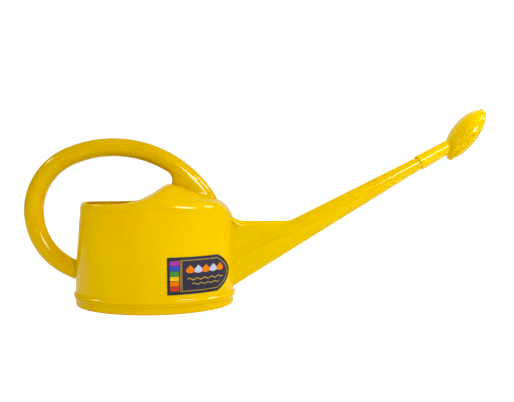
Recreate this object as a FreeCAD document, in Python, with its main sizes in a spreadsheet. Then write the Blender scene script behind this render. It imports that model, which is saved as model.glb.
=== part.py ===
import FreeCAD, Part
import math
import os

# A two litre plastic watering can: an oval tank with a hooded mouth, a welded base pan, a hollow loop
# handle, a long tapered spout with a web at its root, and a push-on oval rose that turns on the spout.
# The origin is the middle of the underside, +Z is up and +X runs towards the spout. Units are mm.

Vector = FreeCAD.Vector
Placement = FreeCAD.Placement
Rotation = FreeCAD.Rotation

SIZES = [
    ("base_half_length", 100.0, "half length of the oval tank at the floor"),
    ("base_half_width", 59.4, "half width of the oval tank at the floor"),
    ("front_draft", 0.011, "how far the front end leans in per mm of height"),
    ("rear_curve", 0.00057, "how far the rear end leans in, times the height squared"),
    ("side_draft", 0.012, "the half width lost per mm of height"),
    ("wall", 2.2, "wall of the tank, handle and web"),
    ("rim_height", 128.8, "height of the flat rim round the mouth"),
    ("shoulder_radius", 11.0, "round between the wall and the top"),
    ("hood_rise", 41.0, "how far the hood would rise if it did not fall forward"),
    ("hood_start", -52.0, "x where the rim starts to rise into the hood"),
    ("hood_end", 54.0, "x where the rise would end"),
    ("hood_ease", 1.4, "power that makes the rise start slowly"),
    ("hood_ridge_x", 24.6, "x of the named point on the hood's ridge"),
    ("hood_ridge_height", 152.0, "height of that point"),
    ("hood_fall", 0.354, "the height lost per mm along the ridge, going forward"),
    ("hood_half_width", 62.0, "half width of the hood's arch at the middle of the tank"),
    ("hood_arch", 2.2, "power of the hood's arch across the tank"),
    ("eave_drop", 4.0, "how far the arch's foot sinks below the rim towards the front"),
    ("eave_end", 60.0, "x where it has sunk that far"),
    ("nose_start", 75.0, "x where the hood starts to round over into the front wall"),
    ("nose_curve", 0.020, "how fast it rounds over: the fall, over the distance squared"),
    ("hood_reach", 118.0, "half length of the oval that the arch narrows along"),
    ("mouth_middle", -35.0, "x of the middle of the filling mouth"),
    ("mouth_half_length", 52.0, "half length of the filling mouth"),
    ("mouth_half_width", 43.7, "half width of the filling mouth"),
    ("weld_height", 13.0, "height of the weld between shell and base pan"),
    ("weld_out", 1.9, "how far the weld groove stands out from the wall"),
    ("ridge_out", 2.6, "how far the weld flanges stand out from the wall"),
    ("ridge_thickness", 1.4, "thickness of a weld flange's edge"),
    ("flare_top", 22.0, "height where the wall starts to flare into the flange"),
    ("floor_thickness", 2.2, "thickness of the base pan's floor"),
    ("foot_chamfer", 0.8, "small chamfer round the underside"),
    ("handle_radius", 11.5, "radius of the round handle tube"),
    ("handle_top_x", -50.9, "x of the handle's highest point"),
    ("handle_top_height", 197.7, "height of the tube's middle there"),
    ("handle_front_radius", 138.9, "arc of the tube's middle over the top and down to the hood"),
    ("handle_back_radius", 76.9, "arc of the tube's middle round the back"),
    ("handle_low_radius", 98.2, "arc of the tube's middle under the hand, into the tank"),
    ("handle_back_angle", 114.5, "direction where the front arc meets the back arc"),
    ("handle_low_angle", 235.0, "direction where the back arc meets the low arc"),
    ("handle_end_angle", 256.0, "direction where the tube ends inside the tank wall"),
    ("handle_leg_angle", 64.0, "direction where the round tube starts to widen into the front leg"),
    ("leg_back_x", 22.7, "x of the front leg's upright rear edge"),
    ("spout_root_x", 92.0, "x of the spout axis at its root"),
    ("spout_root_height", 40.6, "height of the spout axis at its root"),
    ("spout_angle", 29.45, "slope of the spout axis"),
    ("spout_length", 308.0, "length of the spout along its axis"),
    ("spout_root_radius", 21.4, "half height of the spout at its root, where it is an upright oval"),
    ("spout_root_half_width", 10.5, "half width of the spout at its root"),
    ("spout_round_start", 262.0, "distance along the spout axis where the oval has turned round"),
    ("spout_tip_radius", 6.5, "radius of the spout at its tip"),
    ("spout_wall", 1.8, "wall of the spout"),
    ("web_height", 104.7, "height of the web's level top edge"),
    ("web_end_x", 172.0, "x where the web has run into the spout"),
    ("web_half_thickness", 9.0, "half thickness of the web's top edge at the tank"),
    ("web_end_half_thickness", 5.0, "half thickness of the web's top edge where it ends"),
    ("web_fillet", 26.0, "hollow arc between the web's top edge and the tank"),
    ("web_fillet_x", 115.0, "x where that arc meets the level top edge"),
    ("sleeve_start", 279.0, "distance along the spout axis to the open end of the rose's sleeve"),
    ("sleeve_end", 334.0, "distance to the end of the sleeve, inside the rose"),
    ("sleeve_start_radius", 9.7, "outer radius of the sleeve at its open end"),
    ("sleeve_end_radius", 7.7, "outer radius of the sleeve at its inner end"),
    ("sleeve_chamfer", 1.0, "chamfer round the sleeve's open end"),
    ("sleeve_clearance", 0.05, "running gap between spout and sleeve"),
    ("waterway_radius", 4.9, "radius of the passage from the spout into the rose"),
    ("seal_start", 282.0, "distance along the spout axis to the seal's groove"),
    ("seal_width", 3.0, "width of the seal's groove"),
    ("seal_radius", 8.55, "outer radius of the seal"),
    ("rose_reach", 347.4, "distance along the spout axis to the middle of the rose's rim"),
    ("rose_lift", 2.2, "how far that middle stands above the spout axis"),
    ("rose_tilt", 56.7, "slope of the rose's long axis"),
    ("rose_half_length", 35.0, "half length of the rose's oval rim"),
    ("rose_half_width", 26.0, "half width of the rose's oval rim"),
    ("rose_back_depth", 17.0, "depth of the domed back"),
    ("rose_face_depth", 11.0, "depth of the domed face"),
    ("rose_wall", 1.8, "wall of both halves of the rose"),
    ("rim_band", 0.6, "how far the rim band stands out"),
    ("rim_band_height", 1.6, "height of each half's rim band"),
    ("lug_reach", 37.4, "distance from the rose's middle to the tip of each lug"),
    ("lug_width", 8.0, "width of a lug"),
    ("lug_height", 2.4, "height of one half's lug"),
    ("spray_hole_radius", 0.7, "radius of a spray hole"),
    ("spray_ring_gap", 6.4, "distance between rings of spray holes along the rose"),
    ("label_back_x", 26.5, "x of the label's straight end"),
    ("label_shoulder_x", 82.7, "x where the label's arch starts"),
    ("label_tip_x", 95.2, "x of the arch's tip"),
    ("label_low", 23.3, "height of the label's lower edge"),
    ("label_high", 67.3, "height of the label's upper edge"),
    ("label_thickness", 0.25, "thickness of the label film"),
]

CUT_HEIGHT = 156.0      # taller than the tank, for tools that cut right through its top
WALL_STEPS = ["47", "Dims.label_high + 5", "100"]   # levels between which the wall is straight
CREST = 4.0             # length of the round crest where two slopes of the roof cross
SPRAY_RINGS = 4         # rings of spray holes round the one in the middle
SPRAY_STEP = 6          # each ring has this many more holes than the one inside it
FIT_GAP = 0.05          # gap between the two halves of the rose
FACE_STEP = 1.2         # height of the solid ring inside the face that carries its spigot


# ---------------------------------------------------------------- document helpers

def make_sheet(doc):
    """Writes every driving dimension into a spreadsheet cell with an alias."""
    sheet = doc.addObject("Spreadsheet::Sheet", "Dims")
    for row, (alias, value, meaning) in enumerate(SIZES, start=1):
        sheet.set("A%d" % row, meaning)
        sheet.set("B%d" % row, str(value))
        sheet.setAlias("B%d" % row, alias)
    doc.recompute()
    return sheet


class Can:
    """The open document and its sheet, with short ways to add and bind objects."""

    def __init__(self):
        self.doc = FreeCAD.newDocument("watering_can")
        self.sheet = make_sheet(self.doc)

    def size(self, alias):
        """The value of one driving dimension."""
        return float(self.sheet.get(alias))

    def add(self, kind, name, **bindings):
        """Adds an object and binds each named property to an expression."""
        item = self.doc.addObject(kind, name)
        for prop, expression in bindings.items():
            item.setExpression(prop, expression)
        return item

    def fuse(self, name, pieces):
        """One solid from several overlapping ones."""
        item = self.doc.addObject("Part::MultiFuse", name)
        item.Shapes = pieces
        item.Refine = False
        return item

    def cut(self, name, base, tool):
        """The base with the tool taken away."""
        item = self.doc.addObject("Part::Cut", name)
        item.Base = base
        item.Tool = tool
        item.Refine = False
        return item

    def common(self, name, first, second):
        """What two solids share."""
        item = self.doc.addObject("Part::Common", name)
        item.Base = first
        item.Tool = second
        item.Refine = False
        return item

    def loft(self, name, sections, ruled=True):
        """A solid through closed sections."""
        item = self.doc.addObject("Part::Loft", name)
        item.Sections = sections
        item.Solid = True
        item.Ruled = ruled
        return item

    def feature(self, name, shape):
        """A shape made with Part's own functions."""
        item = self.doc.addObject("Part::Feature", name)
        item.Shape = shape
        return item

    def extrude(self, name, base, direction, length):
        """A closed outline extruded along a direction by a length expression."""
        item = self.doc.addObject("Part::Extrusion", name)
        item.Base = base
        item.DirMode = "Custom"
        item.Dir = direction
        item.Solid = True
        item.setExpression("LengthFwd", length)
        return item


# ---------------------------------------------------------------- places along the spout and rose

def spout_direction(can):
    """Unit vector along the spout axis, from root to tip."""
    angle = math.radians(can.size("spout_angle"))
    return Vector(math.cos(angle), 0, math.sin(angle))


def on_spout(can, distance):
    """Placement on the spout axis with its Z along the axis."""
    root = Vector(can.size("spout_root_x"), 0, can.size("spout_root_height"))
    turn = Rotation(Vector(0, 1, 0), 90.0 - can.size("spout_angle"))
    return Placement(root + spout_direction(can) * distance, turn)


def spout_radius(can, distance):
    """Half height of the spout at a distance along its axis, and its radius where it is round."""
    root = can.size("spout_root_radius")
    tip = can.size("spout_tip_radius")
    return root + (tip - root) * distance / can.size("spout_length")


def spout_half_width(can, distance):
    """Half width of the spout at a distance along its axis, up to where it is round."""
    root = can.size("spout_root_half_width")
    round_start = can.size("spout_round_start")
    return root + (spout_radius(can, round_start) - root) * distance / round_start


def rose_place(can, local=Vector(0, 0, 0)):
    """Placement in the rose: X along its long axis, Z out of its face, origin at the rim's middle."""
    lift = Vector(-spout_direction(can).z, 0, spout_direction(can).x) * can.size("rose_lift")
    middle = on_spout(can, can.size("rose_reach")).Base + lift
    turn = Rotation(Vector(0, 1, 0), 180.0 - can.size("rose_tilt"))
    return Placement(middle + turn.multVec(local), turn)


# ---------------------------------------------------------------- tank

def wall_oval(can, name, level, grow):
    """The tank's oval at a level, grown outwards by a distance. Both are expressions."""
    front = "Dims.front_draft * (%s)" % level
    rear = "Dims.rear_curve * (%s) ^ 2" % level
    oval = can.add(
        "Part::Ellipse",
        name,
        MajorRadius="Dims.base_half_length - (%s + %s) / 2 + (%s)" % (front, rear, grow),
        MinorRadius="Dims.base_half_width - Dims.side_draft * (%s) + (%s)" % (level, grow),
    )
    oval.setExpression("Placement.Base.x", "(%s - %s) / 2" % (rear, front))
    oval.setExpression("Placement.Base.z", level)
    return oval


def plain_wall(grow, low, high):
    """Steps of a wall that follows its curve from one level to another, for wall_loft."""
    return [(level, grow) for level in [low] + WALL_STEPS + [high]]


def wall_loft(can, name, profile):
    """A solid through ovals, each given as (level, grow)."""
    ovals = [wall_oval(can, "%s_oval_%d" % (name, n), *step) for n, step in enumerate(profile)]
    return can.loft(name, ovals)


def smooth_step(share):
    """0 up to 0, 1 from 1 on, and an even S between."""
    share = min(1.0, max(0.0, share))
    return share * share * (3.0 - 2.0 * share)


def soft_lower(first, second):
    """The lower of two heights, with a round crest where they cross."""
    return 0.5 * (first + second - math.hypot(first - second, CREST))


def ridge_height(can, x):
    """Height of the top along the middle plane: rim, rise into the hood, then the fall forward."""
    start = can.size("hood_start")
    step = (x - start) / (can.size("hood_end") - start)
    step = smooth_step(max(0.0, step) ** can.size("hood_ease"))
    rise = can.size("rim_height") + can.size("hood_rise") * step
    fall = can.size("hood_ridge_height") - can.size("hood_fall") * (x - can.size("hood_ridge_x"))
    fall -= can.size("nose_curve") * max(0.0, x - can.size("nose_start")) ** 2
    return soft_lower(rise, fall)


def roof_height(can, x, y):
    """Height of the tank's top: flat round the mouth and arched under the hood."""
    ridge = ridge_height(can, x)
    eave = soft_lower(can.size("rim_height"), ridge)
    eave -= can.size("eave_drop") * smooth_step(x / can.size("eave_end"))
    half_width = can.size("hood_half_width") * math.sqrt(1.0 - (x / can.size("hood_reach")) ** 2)
    return eave + (ridge - eave) * (1.0 - (abs(y) / half_width) ** can.size("hood_arch"))


def roof_block(can, name, drop):
    """Everything under the roof surface, lowered by drop, as a block larger than the tank."""
    across = [-66.0 + 6.0 * n for n in range(23)]
    along = [-104.0 + 8.0 * n for n in range(27)]
    points = [[Vector(x, y, roof_height(can, x, y) - drop) for y in across] for x in along]
    surface = Part.BSplineSurface()
    surface.interpolate(points)
    return can.feature(name, surface.toShape().extrude(Vector(0, 0, -2.0 * CUT_HEIGHT)))


def round_shoulder(can, name, base, radius):
    """Rounds the one long edge where the wall meets the roof."""
    can.doc.recompute()
    edges = []
    for number, edge in enumerate(base.Shape.Edges, start=1):
        box = edge.BoundBox
        if box.ZMin > 0.8 * can.size("rim_height") and box.ZLength < can.size("hood_rise"):
            edges.append((number, radius, radius))
    item = can.doc.addObject("Part::Fillet", name)
    item.Base = base
    item.Edges = edges
    return item


def tank_outside(can):
    """The tank's outer form as a filled solid, from the weld up."""
    top = "%s" % CUT_HEIGHT
    edge = "Dims.weld_height + 0.8 + Dims.ridge_thickness"
    walls = wall_loft(can, "outer_wall", [
        ("Dims.weld_height", "Dims.weld_out"),
        ("Dims.weld_height + 0.8", "Dims.ridge_out"),
        (edge, "Dims.ridge_out"),
        ("(%s + Dims.flare_top) / 2" % edge, "0.35 * Dims.ridge_out"),
    ] + plain_wall("0", "Dims.flare_top", top))
    body = can.common("outer_body", walls, roof_block(can, "outer_roof", 0.0))
    return round_shoulder(can, "outer_form", body, can.size("shoulder_radius"))


def tank_inside(can):
    """The space in the tank, as a solid that runs out through its open bottom."""
    wall = can.size("wall")
    walls = wall_loft(can, "inner_wall",
                      plain_wall("-Dims.wall", "Dims.weld_height - 3", "%s" % CUT_HEIGHT))
    body = can.common("inner_body", walls, roof_block(can, "inner_roof", wall))
    return round_shoulder(can, "inner_form", body, can.size("shoulder_radius") - wall)


def mouth_column(can):
    """The upright oval column that opens the filling mouth."""
    oval = can.add(
        "Part::Ellipse",
        "mouth_oval",
        MajorRadius="Dims.mouth_half_length",
        MinorRadius="Dims.mouth_half_width",
    )
    oval.setExpression("Placement.Base.x", "Dims.mouth_middle")
    oval.setExpression("Placement.Base.z", "Dims.rim_height - 20")
    return can.extrude("mouth_column", oval, Vector(0, 0, 1), "60")


def make_tank_shell(can, outside, passage):
    """Walls, shoulder, hood and mouth in one moulding, open to the pan and to the spout."""
    hollow = can.cut("tank_hollow", outside, tank_inside(can))
    opened = can.cut("tank_opened", hollow, mouth_column(can))
    shell = can.cut("TankShell", can.cut("tank_bored", opened, passage[0]), passage[1])
    shell.Label = "tank_shell"
    return shell


def make_base_pan(can):
    """The dished bottom, with the lower weld flange."""
    outer = wall_loft(can, "pan_outer", [
        ("0", "-Dims.foot_chamfer"),
        ("Dims.foot_chamfer", "0"),
        ("Dims.weld_height - 5", "0.3"),
        ("Dims.weld_height - 0.6 - Dims.ridge_thickness", "Dims.ridge_out - 0.3"),
        ("Dims.weld_height - 0.6", "Dims.ridge_out - 0.1"),
        ("Dims.weld_height", "Dims.weld_out"),
    ])
    inner = wall_loft(can, "pan_inner", [
        ("Dims.floor_thickness", "-Dims.wall"),
        ("Dims.weld_height + 3", "-Dims.wall"),
    ])
    pan = can.cut("BasePan", outer, inner)
    pan.Label = "base_pan"
    return pan


# ---------------------------------------------------------------- handle

def arc_point(middle, radius, angle):
    """A point on an arc in the upright middle plane."""
    turn = math.radians(angle)
    return middle + Vector(math.cos(turn), 0, math.sin(turn)) * radius


def handle_middles(can):
    """Centres of the front, back and low arcs, each tangent to the one before."""
    front_radius = can.size("handle_front_radius")
    back_radius = can.size("handle_back_radius")
    low_radius = can.size("handle_low_radius")
    top = Vector(can.size("handle_top_x"), 0, can.size("handle_top_height"))
    front = top - Vector(0, 0, front_radius)
    back = arc_point(front, front_radius - back_radius, can.size("handle_back_angle"))
    low = arc_point(back, back_radius - low_radius, can.size("handle_low_angle"))
    return front, back, low


def handle_spine(can):
    """Sketch of the tube's middle line in the upright plane: three tangent arcs."""
    sketch = can.doc.addObject("Sketcher::SketchObject", "handle_spine")
    sketch.Placement = Placement(Vector(0, 0, 0), Rotation(Vector(1, 0, 0), 90.0))
    radii = ("handle_front_radius", "handle_back_radius", "handle_low_radius")
    turns = ("handle_leg_angle", "handle_back_angle", "handle_low_angle", "handle_end_angle")
    for number, (middle, alias) in enumerate(zip(handle_middles(can), radii)):
        circle = Part.Circle(Vector(middle.x, middle.z, 0), Vector(0, 0, 1), can.size(alias))
        first = math.radians(can.size(turns[number]))
        last = math.radians(can.size(turns[number + 1]))
        sketch.addGeometry(Part.ArcOfCircle(circle, first, last))
    return sketch


def handle_ring(can, name, inset):
    """The tube's round section where it meets the leg, smaller by an inset expression."""
    turn = can.size("handle_leg_angle")
    front = handle_middles(can)[0]
    ring = can.add("Part::Circle", name, Radius="Dims.handle_radius - (%s)" % inset)
    outward = arc_point(Vector(), 1.0, turn)
    start = arc_point(front, can.size("handle_front_radius"), turn)
    ring.Placement = Placement(start, Rotation(outward, Vector(0, 1, 0), Vector(), "XYZ"))
    return ring


def handle_tube(can, name, spine, ring):
    """The round tube along the spine."""
    sweep = can.doc.addObject("Part::Sweep", name)
    sweep.Sections = [ring]
    sweep.Spine = (spine, ["Edge1", "Edge2", "Edge3"])
    sweep.Solid = True
    sweep.Frenet = False
    return sweep


def leg_rungs(can):
    """Rear and front edge of each section of the leg below the tube, down into the hood."""
    front = handle_middles(can)[0]
    reach = can.size("handle_front_radius")
    tube = can.size("handle_radius")
    leg = can.size("handle_leg_angle")
    back_x = can.size("leg_back_x")
    rungs = [(arc_point(front, reach - tube, turn), turn) for turn in (leg - 2.0, leg - 4.5)]
    rungs += [
        (Vector(back_x - 4.0, 0, 165.4), 53.0),
        (Vector(back_x - 0.9, 0, 160.6), 46.5),
        (Vector(back_x, 0, 154.5), 40.0),
        (Vector(back_x, 0, 147.0), 34.0),
        (Vector(back_x, 0, 138.0), 28.0),
    ]
    return [(rear, arc_point(front, reach + tube, turn)) for rear, turn in rungs]


def handle_leg(can, name, ring, inset):
    """The widening front leg as a loft of ovals from the tube's ring, smaller by an inset."""
    rungs = [ring]
    for number, (rear, ahead) in enumerate(leg_rungs(can)):
        span = ahead - rear
        oval = can.add(
            "Part::Ellipse",
            "%s_rung_%d" % (name, number),
            MinorRadius="Dims.handle_radius - (%s)" % inset,
        )
        oval.MajorRadius = span.Length / 2 - inset + 1e-3
        side = Vector(0, 1, 0)
        turn = Rotation(span.normalize(), side, Vector(), "XYZ")
        oval.Placement = Placement((rear + ahead) / 2, turn)
        rungs.append(oval)
    return can.loft(name, rungs, ruled=False)


def make_handle(can, outside):
    """Hollow loop: a round tube from the tank's back, over the top and down to the hood."""
    wall = can.size("wall")
    spine = handle_spine(can)
    outer_ring = handle_ring(can, "handle_ring", "0")
    inner_ring = handle_ring(can, "handle_bore_ring", "Dims.wall")
    solid = can.fuse("handle_solid", [
        handle_tube(can, "handle_tube", spine, outer_ring),
        handle_leg(can, "handle_leg", outer_ring, 0.0),
    ])
    space = can.fuse("handle_space", [
        handle_tube(can, "handle_bore", spine, inner_ring),
        handle_leg(can, "handle_leg_bore", inner_ring, wall),
    ])
    hollow = can.cut("handle_hollow", solid, space)
    handle = can.cut("Handle", hollow, outside)
    handle.Label = "handle"
    return handle


# ---------------------------------------------------------------- spout

def cone(can, name, start, end, start_radius, end_radius):
    """A cone on the spout axis between two distances."""
    item = can.doc.addObject("Part::Cone", name)
    item.Radius1 = start_radius
    item.Radius2 = end_radius
    item.Height = end - start
    item.Placement = on_spout(can, start)
    return item


def web_top(can, x):
    """Height of the web's top edge: level, with a hollow arc up to the tank."""
    level = can.size("web_height")
    arc = can.size("web_fillet")
    back = max(0.0, can.size("web_fillet_x") - x)
    return level + arc - math.sqrt(arc * arc - back * back)


def web_section(can, x, inset):
    """Closed outline of the web across the spout: wide on the spout, narrow and round on top."""
    slope = math.tan(math.radians(can.size("spout_angle")))
    root_x = can.size("spout_root_x")
    ahead = x - root_x
    low = can.size("spout_root_height") + ahead * slope
    foot = 0.9 * spout_half_width(can, ahead / spout_direction(can).x) - inset
    top = web_top(can, x) - inset
    thick = can.size("web_half_thickness")
    thin = can.size("web_end_half_thickness")
    cap = thick + (thin - thick) * ahead / (can.size("web_end_x") - root_x) - inset
    shoulder = top - cap
    corners = [Vector(x, -foot, low), Vector(x, foot, low), Vector(x, cap, shoulder)]
    corners.append(Vector(x, -cap, shoulder))
    edges = [
        Part.LineSegment(corners[0], corners[1]).toShape(),
        Part.LineSegment(corners[1], corners[2]).toShape(),
        Part.Arc(corners[2], Vector(x, 0, top), corners[3]).toShape(),
        Part.LineSegment(corners[3], corners[0]).toShape(),
    ]
    return Part.Wire(edges)


def web(can, name, inset):
    """The web between the spout's root and the tank."""
    start = can.size("spout_root_x") - inset
    bend = can.size("web_fillet_x")
    stations = [start + (bend - start) * step / 6.0 for step in range(7)]
    stations += [(bend + can.size("web_end_x")) / 2, can.size("web_end_x") - inset]
    sections = [web_section(can, x, inset) for x in stations]
    return can.feature(name, Part.makeLoft(sections, True, True))


def spout_tube(can, name, start, end, inset):
    """The spout as a filled solid: an upright oval that turns round and then tapers to the tip."""
    oval = can.doc.addObject("Part::Ellipse", name + "_oval")
    oval.MajorRadius = spout_radius(can, start) - inset
    oval.MinorRadius = spout_half_width(can, start) - inset
    oval.Placement = on_spout(can, start)
    sections = [oval]
    for number, distance in enumerate((can.size("spout_round_start"), end)):
        ring = can.doc.addObject("Part::Circle", "%s_ring_%d" % (name, number))
        ring.Radius = spout_radius(can, distance) - inset
        ring.Placement = on_spout(can, distance)
        sections.append(ring)
    return can.loft(name, sections)


def spout_passage(can):
    """The water's way through the spout, from inside the tank to beyond the tip."""
    bore = spout_tube(can, "spout_bore", -12.0, can.size("spout_length") + 5.0, can.size("spout_wall"))
    return [bore, web(can, "web_space", can.size("wall"))]


def make_spout(can, outside, passage):
    """Tapered spout with its web, hollow from the tank to the tip."""
    tube = spout_tube(can, "spout_tube", 0.0, can.size("spout_length"), 0.0)
    solid = can.fuse("spout_solid", [tube, web(can, "web_solid", 0.0)])
    outer = can.cut("spout_outer", solid, outside)
    spout = can.cut("Spout", can.cut("spout_bored", outer, passage[0]), passage[1])
    spout.Label = "spout"
    return spout


# ---------------------------------------------------------------- rose

def make_rose_seal(can):
    """Soft ring captive in the sleeve, tapered inside to grip the spout."""
    gap = can.size("sleeve_clearance")
    start = can.size("seal_start") + gap
    end = can.size("seal_start") + can.size("seal_width") - gap
    outer = can.add("Part::Cylinder", "seal_outer", Radius="Dims.seal_radius")
    outer.Height = end - start
    outer.Placement = on_spout(can, start)
    inner = cone(can, "seal_inner", start - 1.0, end + 1.0, spout_radius(can, start - 1.0) + gap,
                 spout_radius(can, end + 1.0) + gap)
    seal = can.cut("RoseSeal", outer, inner)
    seal.Label = "rose_seal"
    return seal


def ellipsoid(can, name, depth, inset, low, high):
    """Part of an ellipsoid on the rose's middle, between two latitudes."""
    item = can.add(
        "Part::Ellipsoid",
        name,
        Radius1="Dims.%s - (%s)" % (depth, inset),
        Radius2="Dims.rose_half_length - (%s)" % inset,
        Radius3="Dims.rose_half_width - (%s)" % inset,
    )
    item.Angle1 = low
    item.Angle2 = high
    item.Placement = rose_place(can)
    return item


def rim_ring(can, name, grow, low, height):
    """An oval disc in the rose: grown by an expression, from a local height upwards."""
    oval = can.add(
        "Part::Ellipse",
        name + "_oval",
        MajorRadius="Dims.rose_half_length + (%s)" % grow,
        MinorRadius="Dims.rose_half_width + (%s)" % grow,
    )
    oval.Placement = rose_place(can, Vector(0, 0, low))
    return can.extrude(name, oval, rose_place(can).Rotation.multVec(Vector(0, 0, 1)), height)


def lugs(can, name, low):
    """The two rounded lugs at the ends of the rose's long axis, on one half of the rim."""
    reach = can.size("lug_reach")
    width = can.size("lug_width")
    height = can.size("lug_height")
    inner = can.size("rose_half_length") - 1.2
    pair = []
    for side in (-1.0, 1.0):
        near = min(side * inner, side * reach)
        block = Part.makeBox(reach - inner, width, height, Vector(near, -width / 2, low))
        tip = [e for e in block.Edges if e.BoundBox.ZLength > height / 2
               and abs(abs(e.CenterOfMass.x) - reach) < 0.1]
        pair.append(block.makeFillet(1.5, tip))
    item = can.feature(name, Part.makeCompound(pair))
    item.Placement = rose_place(can)
    return item


def sleeve_solid(can):
    """The rose's sleeve outside: a chamfered end and a slow taper into the dome."""
    start = can.size("sleeve_start")
    chamfer = can.size("sleeve_chamfer")
    wide = can.size("sleeve_start_radius")
    lip = cone(can, "sleeve_lip", start, start + chamfer, wide - 0.7 * chamfer, wide)
    body = cone(can, "sleeve_body", start + chamfer, can.size("sleeve_end"), wide,
                can.size("sleeve_end_radius"))
    return [lip, body]


def sleeve_bore(can):
    """Tapered socket for the spout, the seal's groove and the waterway into the dome."""
    gap = can.size("sleeve_clearance")
    back = can.size("sleeve_start") - 2.0
    stop = can.size("spout_length") + gap
    seal = can.size("seal_start")
    socket = cone(can, "socket", back, stop, spout_radius(can, back) + gap,
                  spout_radius(can, stop) + gap)
    groove = can.doc.addObject("Part::Cylinder", "seal_groove")
    groove.Radius = can.size("seal_radius") + gap
    groove.Height = can.size("seal_width")
    groove.Placement = on_spout(can, seal)
    way = can.doc.addObject("Part::Cylinder", "waterway")
    way.Radius = can.size("waterway_radius")
    way.Height = can.size("sleeve_end") - stop + 4.0
    way.Placement = on_spout(can, stop - 1.0)
    return [socket, groove, way]


def make_rose_shell(can):
    """Domed back of the rose in one moulding with its sleeve."""
    dome = ellipsoid(can, "back_dome", "rose_back_depth", "0", -90, 0)
    band = rim_ring(can, "back_band", "Dims.rim_band", -can.size("rim_band_height"),
                    "Dims.rim_band_height")
    solid = can.fuse("back_solid", [dome, band, lugs(can, "back_lugs", -can.size("lug_height"))]
                     + sleeve_solid(can))
    space = ellipsoid(can, "back_space", "rose_back_depth", "Dims.rose_wall", -90, 90)
    hollow = can.cut("back_hollow", solid, space)
    shell = can.cut("RoseShell", hollow, can.fuse("back_bore", sleeve_bore(can)))
    shell.Label = "rose_shell"
    return shell


def spray_drills(can):
    """Rings of small drills through the face, evenly spread over its oval."""
    radius = can.size("spray_hole_radius")
    gap = can.size("spray_ring_gap")
    squash = can.size("rose_half_width") / can.size("rose_half_length")
    depth = can.size("rose_face_depth") + 4.0
    drills = [Part.makeCylinder(radius, depth)]
    for ring in range(1, SPRAY_RINGS + 1):
        holes = SPRAY_STEP * ring
        for number in range(holes):
            turn = 2.0 * math.pi * number / holes
            place = Vector(gap * ring * math.cos(turn), gap * squash * ring * math.sin(turn), 0)
            drills.append(Part.makeCylinder(radius, depth, place))
    for drill in drills:
        drill.Placement = rose_place(can).multiply(drill.Placement)
    return drills


def make_rose_face(can):
    """Perforated domed face with a spigot that pushes into the back's rim."""
    dome = ellipsoid(can, "face_dome", "rose_face_depth", "0", 0, 90)
    dome.Placement = rose_place(can, Vector(0, 0, FIT_GAP))
    band = rim_ring(can, "face_band", "Dims.rim_band", FIT_GAP, "Dims.rim_band_height")
    spigot = rim_ring(can, "face_spigot", "-2.6", -2.0, "3.5")
    solid = can.fuse("face_solid", [dome, band, spigot, lugs(can, "face_lugs", FIT_GAP)])
    space = ellipsoid(can, "face_space", "rose_face_depth", "Dims.rose_wall", 0, 90)
    space.setExpression("Radius1", "Dims.rose_face_depth - Dims.rose_wall - %s" % FACE_STEP)
    space.Placement = rose_place(can, Vector(0, 0, FACE_STEP))
    throat = rim_ring(can, "face_throat", "-3.8", -3.0, "%s" % (3.4 + FACE_STEP))
    hollow = can.cut("face_hollow", solid, can.fuse("face_room", [space, throat]))
    can.doc.recompute()
    face = can.feature("RoseFace", hollow.Shape.cut(spray_drills(can)))
    face.Label = "rose_face"
    return face


# ---------------------------------------------------------------- label

def label_outline(can):
    """Flat outline with an arched front end, in the upright plane."""
    back = can.size("label_back_x")
    shoulder = can.size("label_shoulder_x")
    tip = can.size("label_tip_x")
    low = can.size("label_low")
    high = can.size("label_high")
    middle = (low + high) / 2
    bulge = shoulder + 0.74 * (tip - shoulder)
    quarter = 0.28 * (high - low)
    edges = [
        Part.LineSegment(Vector(back, 0, low), Vector(shoulder, 0, low)).toShape(),
        Part.Arc(Vector(shoulder, 0, low), Vector(bulge, 0, middle - quarter),
                 Vector(tip, 0, middle)).toShape(),
        Part.Arc(Vector(tip, 0, middle), Vector(bulge, 0, middle + quarter),
                 Vector(shoulder, 0, high)).toShape(),
        Part.LineSegment(Vector(shoulder, 0, high), Vector(back, 0, high)).toShape(),
        Part.LineSegment(Vector(back, 0, high), Vector(back, 0, low)).toShape(),
    ]
    return Part.Face(Part.Wire(edges))


def make_label(can):
    """Thin film on the wall's near side, cut to the outline."""
    low = "Dims.flare_top"
    high = "Dims.rim_height"
    film = wall_loft(can, "film", plain_wall("Dims.label_thickness", low, high))
    core = wall_loft(can, "film_core", plain_wall("0", low, high))
    skin = can.cut("film_skin", film, core)
    width = can.size("base_half_width") + 10.0
    stamp = can.feature("label_stamp", label_outline(can).extrude(Vector(0, -width, 0)))
    label = can.common("LabelFilm", skin, stamp)
    label.Label = "label"
    return label


# ---------------------------------------------------------------- build and export

def check(doc, parts):
    """Stops if any object failed or any sub-part is not one valid solid."""
    for item in doc.Objects:
        if "Invalid" in item.State or "Error" in item.State:
            raise RuntimeError("%s failed: %s" % (item.Name, item.State))
    for part in parts:
        shape = part.Shape
        if shape.isNull() or not shape.isValid() or len(shape.Solids) != 1:
            raise RuntimeError("%s is not one valid solid" % part.Label)
        print("%-12s %9.1f mm3" % (part.Label, shape.Volume))


def main():
    can = Can()
    outside = tank_outside(can)
    passage = spout_passage(can)
    parts = [
        make_tank_shell(can, outside, passage),
        make_base_pan(can),
        make_handle(can, outside),
        make_spout(can, outside, passage),
        make_label(can),
        make_rose_seal(can),
        make_rose_shell(can),
        make_rose_face(can),
    ]
    can.doc.recompute()
    check(can.doc, parts)
    os.makedirs("parts", exist_ok=True)
    for part in parts:
        part.Shape.exportStep("parts/%s.step" % part.Label)


main()
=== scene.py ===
import math

import bmesh
import bpy
import numpy as np
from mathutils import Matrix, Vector
from mathutils.geometry import delaunay_2d_cdt


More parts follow.
